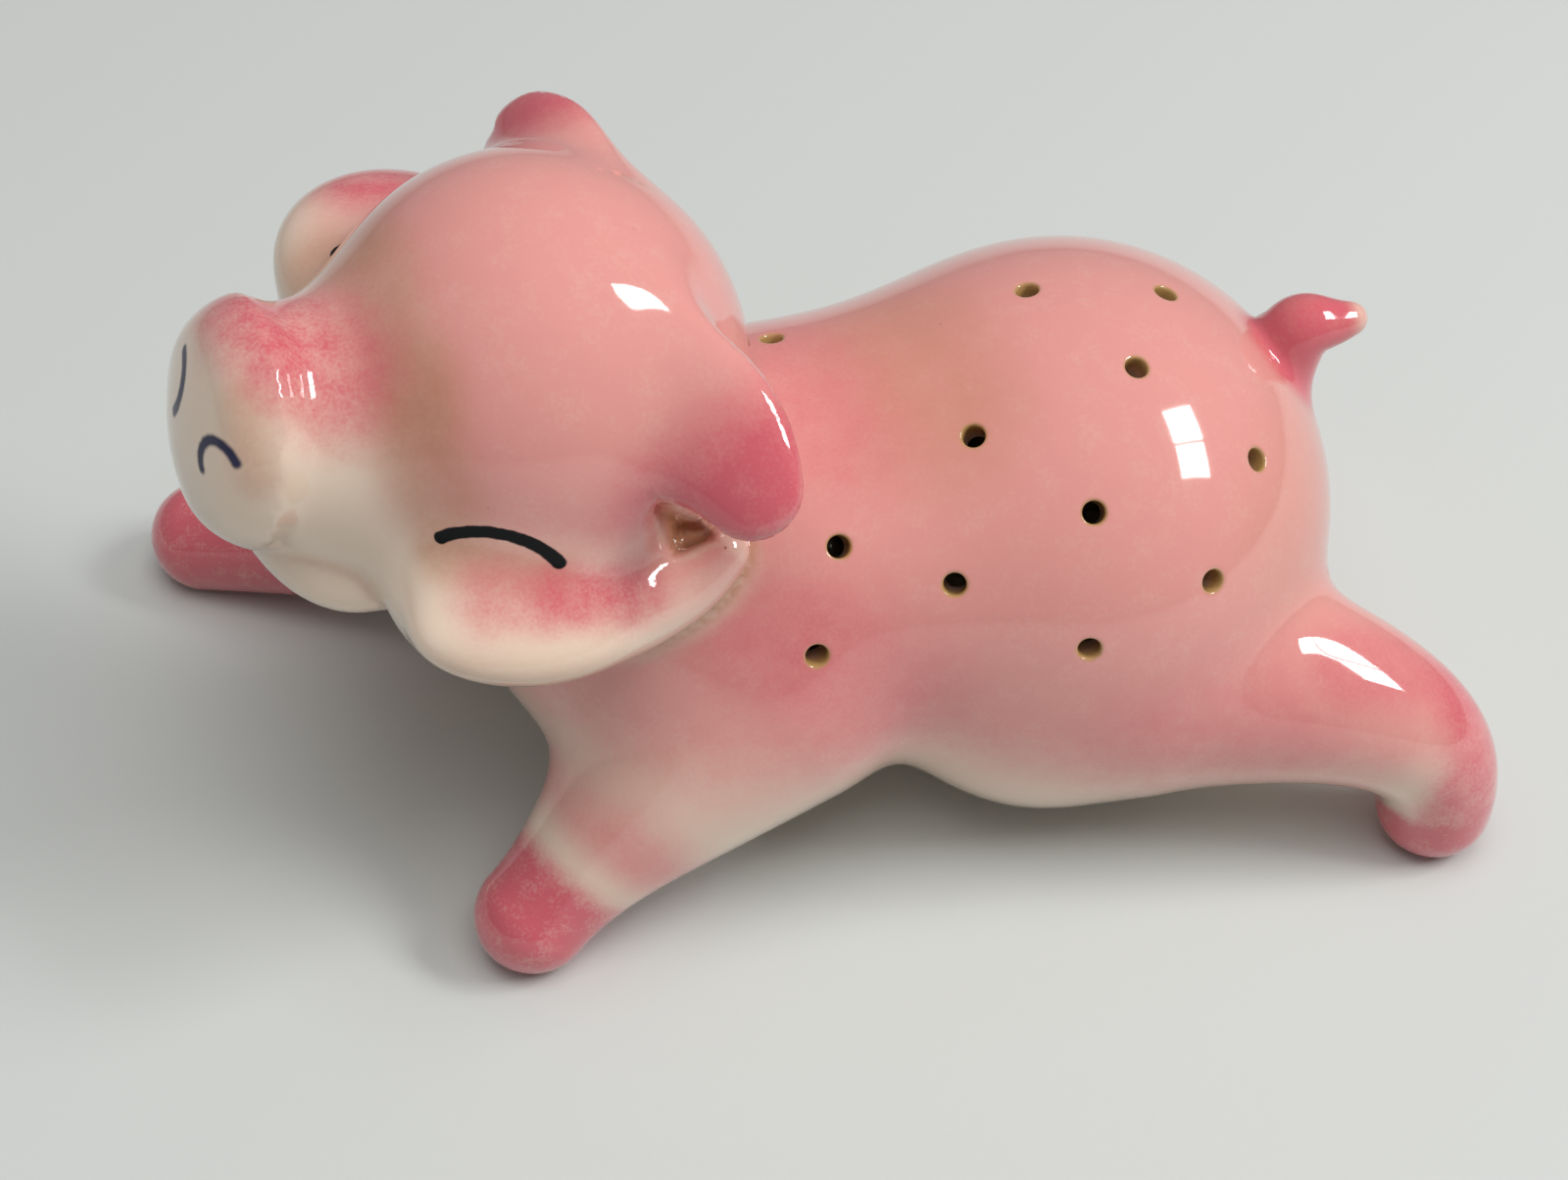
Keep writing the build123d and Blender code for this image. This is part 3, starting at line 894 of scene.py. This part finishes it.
class Bench:
    """Adds nodes to a tree and wires their inputs."""

    def __init__(self, tree):
        self.tree = tree

    def add(self, kind, inputs=None, **settings):
        node = self.tree.nodes.new(kind)
        for key, value in settings.items():
            setattr(node, key, value)
        for key, value in (inputs or {}).items():
            if isinstance(value, bpy.types.NodeSocket):
                self.tree.links.new(value, node.inputs[key])
            else:
                node.inputs[key].default_value = value
        return node

    def math(self, operation, first, second=0.0, third=0.0, clamp=False):
        inputs = {0: first, 1: second, 2: third}
        return self.add("ShaderNodeMath", inputs, operation=operation, use_clamp=clamp).outputs[0]

    def mix(self, share, first, second, blend="MIX"):
        inputs = {0: share, 6: first, 7: second}
        return self.add("ShaderNodeMix", inputs, data_type="RGBA", blend_type=blend).outputs[2]

    def ramp(self, value, low, high):
        inputs = {"Value": value, "From Min": low, "From Max": high}
        return self.add("ShaderNodeMapRange", inputs, interpolation_type="SMOOTHSTEP").outputs[0]

    def noise(self, place, scale, detail):
        inputs = {"Vector": place, "Scale": scale, "Detail": detail}
        return self.add("ShaderNodeTexNoise", inputs).outputs["Fac"]

    def hypot(self, x, y):
        squares = (self.math("MULTIPLY", x, x), self.math("MULTIPLY", y, y))
        return self.math("SQRT", self.math("ADD", *squares))

    def group(self, tree, inputs):
        return self.add("ShaderNodeGroup", inputs, node_tree=tree)


SOCKETS = {"float": "NodeSocketFloat", "colour": "NodeSocketColor", "vector": "NodeSocketVector"}


def new_group(name, inputs, outputs):
    """An empty shader node group with named sockets, and its bench, input node and output node."""
    tree = bpy.data.node_groups.new(name, "ShaderNodeTree")
    for socket, kind in inputs:
        tree.interface.new_socket(socket, in_out="INPUT", socket_type=SOCKETS[kind])
    for socket, kind in outputs:
        tree.interface.new_socket(socket, in_out="OUTPUT", socket_type=SOCKETS[kind])
    bench = Bench(tree)
    return tree, bench, bench.add("NodeGroupInput").outputs, bench.add("NodeGroupOutput").inputs


# The airbrush: how coarse and how strong the clouds are beside the drops, the middle of both noises
# together, and how soon a thin coat shows them
CLOUD_GRAIN, CLOUD_WEIGHT = 0.16, 1.2
NOISE_MIDDLE = 0.5 * (1.0 + CLOUD_WEIGHT)
THIN_COAT_POWER = 0.6


def spray_group():
    """A coat from the airbrush: its edge breaks up into fine drops and soft mottling."""
    name = "sprayed coat"
    if name in bpy.data.node_groups:
        return bpy.data.node_groups[name]
    tree, bench, inputs, outputs = new_group(
        name,
        (("Place", "vector"), ("Under", "colour"), ("Coat", "colour"), ("Amount", "float"),
         ("Grain", "float"), ("Mottle", "float")),
        (("Color", "colour"),),
    )
    fine = bench.noise(inputs["Place"], inputs["Grain"], 2.0)
    broad = bench.noise(inputs["Place"], bench.math("MULTIPLY", inputs["Grain"], CLOUD_GRAIN), 3.0)
    both = bench.math("ADD", fine, bench.math("MULTIPLY", broad, CLOUD_WEIGHT))
    spread = bench.math("MULTIPLY", bench.math("SUBTRACT", both, NOISE_MIDDLE), inputs["Mottle"])
    lively = bench.math("MULTIPLY", spread, bench.math("POWER", inputs["Amount"], THIN_COAT_POWER))
    amount = bench.math("ADD", inputs["Amount"], lively, clamp=True)
    bench.tree.links.new(bench.mix(amount, inputs["Under"], inputs["Coat"]), outputs["Color"])
    return tree


# The clear glaze: how fine its orange peel and its smears are, which noise the smears start and end at,
# and its specks: how many cells go without, their size and spread in cells, their strength and pinholes
PEEL_SCALE = 0.22
SMEAR_SCALE, SMEAR_RANGE = 0.09, (0.3, 0.8)
SPECK_SCALE, SPECK_FREE_SHARE, SPECK_SIZE, SPECK_SPREAD = 0.16, 0.72, 0.012, 0.03
SPECK_STRENGTH, PINHOLE_DEPTH = 0.7, 0.3


def glaze_group():
    """The skin of the clear glaze: a slow orange peel, sparse pinholes and dark specks of iron."""
    name = "glaze skin"
    if name in bpy.data.node_groups:
        return bpy.data.node_groups[name]
    tree, bench, inputs, outputs = new_group(
        name,
        (("Place", "vector"), ("Under", "colour"), ("Speck", "colour")),
        (("Color", "colour"), ("Roughness", "float"), ("Height", "float")),
    )
    peel = bench.noise(inputs["Place"], PEEL_SCALE, 1.0)
    cells = bench.add(
        "ShaderNodeTexVoronoi", {"Vector": inputs["Place"], "Scale": SPECK_SCALE, "Randomness": 1.0},
    ).outputs
    draws = bench.add("ShaderNodeSeparateColor", {0: cells["Color"]}).outputs
    chosen = bench.math("GREATER_THAN", draws[0], SPECK_FREE_SHARE)
    size = bench.math("ADD", bench.math("MULTIPLY", draws[1], SPECK_SPREAD), SPECK_SIZE)
    speck = bench.math("MULTIPLY", bench.math("LESS_THAN", cells["Distance"], size), chosen)
    colour = bench.mix(bench.math("MULTIPLY", speck, SPECK_STRENGTH), inputs["Under"], inputs["Speck"])
    smear = bench.noise(inputs["Place"], SMEAR_SCALE, 3.0)
    height = bench.math("SUBTRACT", peel, bench.math("MULTIPLY", speck, PINHOLE_DEPTH))
    bench.tree.links.new(colour, outputs["Color"])
    bench.tree.links.new(bench.ramp(smear, *SMEAR_RANGE), outputs["Roughness"])
    bench.tree.links.new(height, outputs["Height"])
    return tree


# The brush: how fine and how wide its edge wavers, and how far off its plane a line may run
WOBBLE_SCALE, WOBBLE, LINE_DEPTH = 0.9, 0.25, 6.0


def arc_group():
    """A brush line along an arc of a circle, with round ends; the place is in the arc's own frame."""
    name = "brushed arc"
    if name in bpy.data.node_groups:
        return bpy.data.node_groups[name]
    tree, bench, inputs, outputs = new_group(
        name,
        (("Place", "vector"), ("Radius", "float"), ("Half Angle", "float"), ("Half Width", "float"),
         ("Softness", "float")),
        (("Mask", "float"),),
    )
    place = bench.add("ShaderNodeSeparateXYZ", {0: inputs["Place"]}).outputs
    wobble = bench.noise(inputs["Place"], WOBBLE_SCALE, 1.0)
    across = bench.math("ABSOLUTE", place[0])
    from_centre = bench.hypot(across, place[1])
    on_line = bench.math("ABSOLUTE", bench.math("SUBTRACT", from_centre, inputs["Radius"]))
    end_x = bench.math("MULTIPLY", bench.math("SINE", inputs["Half Angle"]), inputs["Radius"])
    end_y = bench.math("MULTIPLY", bench.math("COSINE", inputs["Half Angle"]), inputs["Radius"])
    at_end = bench.hypot(bench.math("SUBTRACT", across, end_x), bench.math("SUBTRACT", place[1], end_y))
    turn = bench.math("ARCTAN2", across, place[1])
    past = bench.math("GREATER_THAN", turn, inputs["Half Angle"])
    beside = bench.math("MULTIPLY", bench.math("SUBTRACT", 1.0, past), on_line)
    gap = bench.math("ADD", bench.math("MULTIPLY", past, at_end), beside)
    gap = bench.math("ADD", gap, bench.math("MULTIPLY", bench.math("SUBTRACT", wobble, 0.5), WOBBLE))
    inside = bench.math("SUBTRACT", inputs["Half Width"], gap)
    mask = bench.ramp(inside, bench.math("MULTIPLY", inputs["Softness"], -1.0), inputs["Softness"])
    level = bench.math("LESS_THAN", bench.math("ABSOLUTE", place[2]), LINE_DEPTH)
    bench.tree.links.new(bench.math("MULTIPLY", mask, level), outputs["Mask"])
    return tree


# Brush lines on the face: start, middle and end in the head's own frame, half width, softness
EYE_LINES = (
    ((15.1, 19.4, 1.2), (10.3, 22.3, 4.4), (4.1, 25.0, 2.0), 0.75, 0.12),
    ((15.5, -19.8, 3.0), (10.5, -22.5, 7.0), (4.1, -25.0, 5.0), 0.75, 0.12),
)
NOSTRIL_LINES = (
    ((37.4, 6.4, 0.2), (36.6, 7.4, 5.3), (35.5, 9.8, 4.8), 0.60, 0.30),
    ((37.0, -5.2, 5.5), (37.6, -2.1, 3.6), (38.1, -1.7, 0.0), 0.70, 0.25),
)


def arc_frame(start, middle, end):
    """The circle through three places on the head's skin: its middle, turn, radius and half angle."""
    places = settle(np.array((start, middle, end)) @ HEAD_AXES + HEAD_PLACE, skin_gap)
    z = unit(slope(skin_gap, places).mean(0))
    places = places - np.outer((places - places[1]) @ z, z)
    first, second = places[0] - places[2], places[1] - places[2]
    axis = np.cross(first, second)
    lever = first @ first * second - second @ second * first
    centre = np.cross(lever, axis) / (2 * axis @ axis) + places[2]
    radius = np.linalg.norm(places[0] - centre)
    x = unit(places[2] - places[0])
    y = np.cross(z, x)
    if y @ (places[1] - centre) < 0:
        x, y = -x, -y
    half = math.acos(float(np.clip(unit(places[0] - centre) @ y, -1, 1)))
    frame_matrix = Matrix(np.array((x, y, z)).T.tolist())
    return to_frame(centre), frame_matrix.to_euler(), radius, half


# The coats from the lowest up: the layer of paint that says how much, the colour, how fine its drops are
# and how mottled it is
COATS = (
    # The tan coat also carries painted shade, and the bare coat carries painted shade under the ears as
    # well as the bare rims of the pick holes
    ("pink", "pink", 2.0, 0.3), ("tan", "tan", 1.4, 0.35),
    ("rose", "rose", 2.4, 0.6), ("bare", "rim", 2.0, 0.5),
)
# The clear glaze over them: its orange peel, its roughness and what a smear adds, its shine
GLAZE_IOR = 1.52
PEEL_STRENGTH, PEEL_HEIGHT = 0.25, 0.15
GLAZE_ROUGHNESS, SMEAR_ROUGHNESS = 0.05, 0.06
COAT_WEIGHT, COAT_ROUGHNESS, SPECULAR = 0.6, 0.03, 0.5
# What the enamel of the brush lines takes from the shine, so that it stays dark
ENAMEL_COAT, ENAMEL_SPECULAR = -0.55, -0.35


def glaze_material(name, colours, lines=()):
    """Clear glaze over airbrushed colours; lines are painted on top of them."""
    material = bpy.data.materials.new(name)
    material.use_nodes = True
    bench = Bench(material.node_tree)
    shader = material.node_tree.nodes["Principled BSDF"]
    spot = bench.add("ShaderNodeTexCoord").outputs["Object"]
    place = bench.add("ShaderNodeMapping", {"Vector": spot, "Scale": (1 / MODULE,) * 3}).outputs[0]
    colour = (*colours.cream, 1.0)
    for coat, tint, grain, mottle in COATS:
        amount = bench.add("ShaderNodeAttribute", attribute_name=coat).outputs["Fac"]
        colour = bench.group(spray_group(), {
            "Place": place, "Under": colour, "Coat": (*getattr(colours, tint), 1.0),
            "Amount": amount, "Grain": grain, "Mottle": mottle,
        }).outputs["Color"]
    skin = bench.group(glaze_group(), {"Place": place, "Under": colour, "Speck": (*colours.speck, 1.0)})
    colour = skin.outputs["Color"]
    enamel = None
    for (start, middle, end, half_width, softness), tint in lines:
        centre, turn, radius, half = arc_frame(start, middle, end)
        local = bench.add(
            "ShaderNodeMapping",
            {"Vector": spot, "Location": centre, "Rotation": turn, "Scale": (MODULE,) * 3},
            vector_type="TEXTURE",
        ).outputs[0]
        mask = bench.group(arc_group(), {
            "Place": local, "Radius": radius, "Half Angle": half,
            "Half Width": half_width, "Softness": softness,
        }).outputs["Mask"]
        colour = bench.mix(mask, colour, (*tint, 1.0))
        enamel = mask if enamel is None else bench.math("MAXIMUM", enamel, mask)
    bump = bench.add("ShaderNodeBump", {
        "Height": skin.outputs["Height"], "Strength": PEEL_STRENGTH, "Distance": PEEL_HEIGHT * MODULE,
    })
    roughness = bench.math("MULTIPLY_ADD", skin.outputs["Roughness"], SMEAR_ROUGHNESS, GLAZE_ROUGHNESS)
    links = material.node_tree.links
    links.new(colour, shader.inputs["Base Color"])
    links.new(roughness, shader.inputs["Roughness"])
    links.new(bump.outputs["Normal"], shader.inputs["Normal"])
    shader.inputs["IOR"].default_value = GLAZE_IOR
    shader.inputs["Coat Weight"].default_value = COAT_WEIGHT
    shader.inputs["Coat Roughness"].default_value = COAT_ROUGHNESS
    if enamel is not None:
        coat_weight = bench.math("MULTIPLY_ADD", enamel, ENAMEL_COAT, COAT_WEIGHT)
        specular = bench.math("MULTIPLY_ADD", enamel, ENAMEL_SPECULAR, SPECULAR)
        links.new(coat_weight, shader.inputs["Coat Weight"])
        links.new(specular, shader.inputs["Specular IOR Level"])
    return material


# ---------------------------------------------------------------- what a user may change


def tint(name, description, default):
    """A colour that a user may change."""
    return FloatVectorProperty(
        name=name, description=description, subtype="COLOR", size=3, min=0, max=1, default=default,
    )


class PigColours(PropertyGroup):
    """Colours under the clear glaze."""

    cream: tint("Cream", "The cream body that shows where nothing is sprayed", (0.78, 0.62, 0.49))
    # The tan also paints shade: in the creases, in the hollows under the ears, under the left cheek, below
    # the left eye and along the mouth
    tan: tint("Tan", "The warm tone round the brow, the loin and in the creases", (0.50, 0.22, 0.12))
    pink: tint("Pink", "The pink that is sprayed over the back and the head", (0.72, 0.30, 0.27))
    rose: tint("Rose", "The deep rose of the hooves, ear tips, cheeks and tail", (0.62, 0.11, 0.14))
    # The rim colour also darkens the painted shade in the hollows under the ears
    rim: tint("Rim", "The bare clay round the pick holes", (0.42, 0.25, 0.09))
    speck: tint("Specks", "Small dark specks in the glaze", (0.20, 0.09, 0.05))
    eye: tint("Eyes", "The brush lines of the closed eyes", (0.003, 0.003, 0.004))
    nostril: tint("Nostrils", "The brush lines of the nostrils", (0.035, 0.035, 0.075))


class PigStage(PropertyGroup):
    """Floor, lamps and camera."""

    floor: tint("Floor", "Colour of the plain floor", (0.60, 0.62, 0.60))
    window_power: FloatProperty(
        name="Window", description="Power of the tall lamp that makes the window highlights",
        unit="POWER", min=0, default=4.0,
    )
    fill_power: FloatProperty(
        name="Fill", description="Power of the broad soft lamp overhead", unit="POWER", min=0, default=9.5,
    )
    surround: FloatProperty(
        name="Surround", description="Strength of the even light from all round", min=0, default=0.24,
    )
    camera_distance: FloatProperty(
        name="Camera distance", description="From the camera to the middle of the view",
        unit="LENGTH", min=0.1, default=0.330,
    )


# ---------------------------------------------------------------- operators


def colours_of(context):
    return context.scene.pig_colours


class PIG_OT_body(Operator):
    """Models the back with its pick holes, and the belly"""

    bl_idname = "pig.body"
    bl_label = "Body"

    def execute(self, context):
        glaze = glaze_material("body_glaze", colours_of(context))
        make_piece("back_shell", lined, glaze, holes())
        make_piece("belly_shell", lined, glaze)
        return {"FINISHED"}


class PIG_OT_head(Operator):
    """Models the head with its snout, cheeks and lip, and paints the face"""

    bl_idname = "pig.head"
    bl_label = "Head"

    def execute(self, context):
        colours = colours_of(context)
        lines = [(line, colours.eye) for line in EYE_LINES]
        lines += [(line, colours.nostril) for line in NOSTRIL_LINES]
        make_piece("head_shell", lined, glaze_material("face_glaze", colours, lines))
        return {"FINISHED"}


class PIG_OT_ears(Operator):
    """Models the two flopped ears"""

    bl_idname = "pig.ears"
    bl_label = "Ears"

    def execute(self, context):
        glaze = glaze_material("ear_glaze", colours_of(context))
        for node in EAR_NODES:
            make_piece(node, plugged, glaze)
        return {"FINISHED"}


class PIG_OT_legs(Operator):
    """Models the four legs in mid-stride"""

    bl_idname = "pig.legs"
    bl_label = "Legs"

    def execute(self, context):
        glaze = glaze_material("leg_glaze", colours_of(context))
        for node in LEG_NODES:
            make_piece(node, plugged, glaze)
        return {"FINISHED"}


class PIG_OT_tail(Operator):
    """Models the curled tail"""

    bl_idname = "pig.tail"
    bl_label = "Tail"

    def execute(self, context):
        make_piece("tail", plugged, glaze_material("tail_glaze", colours_of(context)))
        return {"FINISHED"}


# The view, in modules: what the camera looks at, and the way from there to the camera
VIEW_TARGET = (-15.0, 0.0, 26.0)
VIEW_AWAY = (-0.1444, -0.6795, 0.7193)
VIEW_LENS = 60.75
# Lamps: name, place and aim in metres from under the body, width and height, property of the power,
# and whether the glaze mirrors it; then the way their upper edges point
LAMPS = (
    ("window_upper", (0.826, -0.160, 0.930), (-0.02, 0.0, 0.05), 0.28, 0.26, "window_power", True),
    ("window_lower", (0.874, -0.410, 0.815), (-0.02, 0.0, 0.05), 0.28, 0.26, "window_power", True),
    ("fill", (0.05, -0.25, 1.25), (0.0, 0.0, 0.03), 0.90, 0.90, "fill_power", False),
)
LAMP_UPRIGHT = (-0.18, 0.89, 0.42)
# The floor: its half width in metres, its corners in half widths, and its roughness
FLOOR_REACH = 3.0
FLOOR_CORNERS = ((-1, -1, 0), (1, -1, 0), (1, 1, 0), (-1, 1, 0))
FLOOR_ROUGHNESS = 0.7


def aimed(name, data, place, aim, upright):
    """Puts a lamp or camera at a place, looking at another, with its top towards upright."""
    holder = bpy.data.objects.new(name, data)
    z = (place - aim).normalized()
    x = Vector(upright).cross(z).normalized()
    holder.matrix_world = Matrix.Translation(place) @ Matrix((x, z.cross(x), z)).transposed().to_4x4()
    bpy.context.scene.collection.objects.link(holder)
    return holder


class PIG_OT_stage(Operator):
    """Sets the floor, the lamps and the camera"""

    bl_idname = "pig.stage"
    bl_label = "Stage"

    def execute(self, context):
        scene, stage = context.scene, context.scene.pig_stage
        scene.view_settings.view_transform = "Standard"
        mesh = bpy.data.meshes.new("floor")
        mesh.from_pydata([FLOOR_REACH * Vector(corner) for corner in FLOOR_CORNERS], [], [(0, 1, 2, 3)])
        floor = bpy.data.objects.new("floor", mesh)
        scene.collection.objects.link(floor)
        paint = bpy.data.materials.new("floor_paint")
        paint.use_nodes = True
        shader = paint.node_tree.nodes["Principled BSDF"]
        shader.inputs["Base Color"].default_value = (*stage.floor, 1.0)
        shader.inputs["Roughness"].default_value = FLOOR_ROUGHNESS
        mesh.materials.append(paint)
        middle = Vector(BODY_MIDDLE)
        for name, place, aim, width, height, power, mirrors in LAMPS:
            lamp = bpy.data.lights.new(name, "AREA")
            lamp.shape = "RECTANGLE"
            lamp.size, lamp.size_y = width, height
            lamp.energy = getattr(stage, power)
            holder = aimed(name, lamp, Vector(place) + middle, Vector(aim) + middle, LAMP_UPRIGHT)
            holder.visible_glossy = mirrors
        lens = bpy.data.cameras.new("camera")
        lens.lens = VIEW_LENS
        target = Vector(to_frame(VIEW_TARGET))
        eye = target + Vector(VIEW_AWAY).normalized() * stage.camera_distance
        scene.camera = aimed("camera", lens, eye, target, (0, 0, 1))
        scene.world = bpy.data.worlds.new("surround")
        scene.world.use_nodes = True
        background = scene.world.node_tree.nodes["Background"]
        background.inputs["Strength"].default_value = stage.surround
        background.inputs["Color"].default_value = (1.0, 1.0, 1.0, 1.0)
        return {"FINISHED"}


OPERATORS = (PIG_OT_body, PIG_OT_head, PIG_OT_ears, PIG_OT_legs, PIG_OT_tail, PIG_OT_stage)


class PIG_PT_panel(Panel):
    """The pig's pieces, colours and stage"""

    bl_label = "Pick holder pig"
    bl_idname = "PIG_PT_panel"
    bl_space_type = "VIEW_3D"
    bl_region_type = "UI"
    bl_category = "Pig"

    def draw(self, context):
        for operator in OPERATORS:
            self.layout.operator(operator.bl_idname)
        for group in (context.scene.pig_colours, context.scene.pig_stage):
            box = self.layout.box()
            for name in group.bl_rna.properties.keys():
                if name not in ("rna_type", "name"):
                    box.prop(group, name)


CLASSES = (PigColours, PigStage, *OPERATORS, PIG_PT_panel)


def register():
    for cls in CLASSES:
        bpy.utils.register_class(cls)
    bpy.types.Scene.pig_colours = PointerProperty(type=PigColours)
    bpy.types.Scene.pig_stage = PointerProperty(type=PigStage)


def unregister():
    del bpy.types.Scene.pig_stage
    del bpy.types.Scene.pig_colours
    for cls in reversed(CLASSES):
        bpy.utils.unregister_class(cls)


def main():
    register()
    bpy.ops.pig.body()
    bpy.ops.pig.head()
    bpy.ops.pig.ears()
    bpy.ops.pig.legs()
    bpy.ops.pig.tail()
    bpy.ops.pig.stage()


if __name__ == "__main__":
    main()
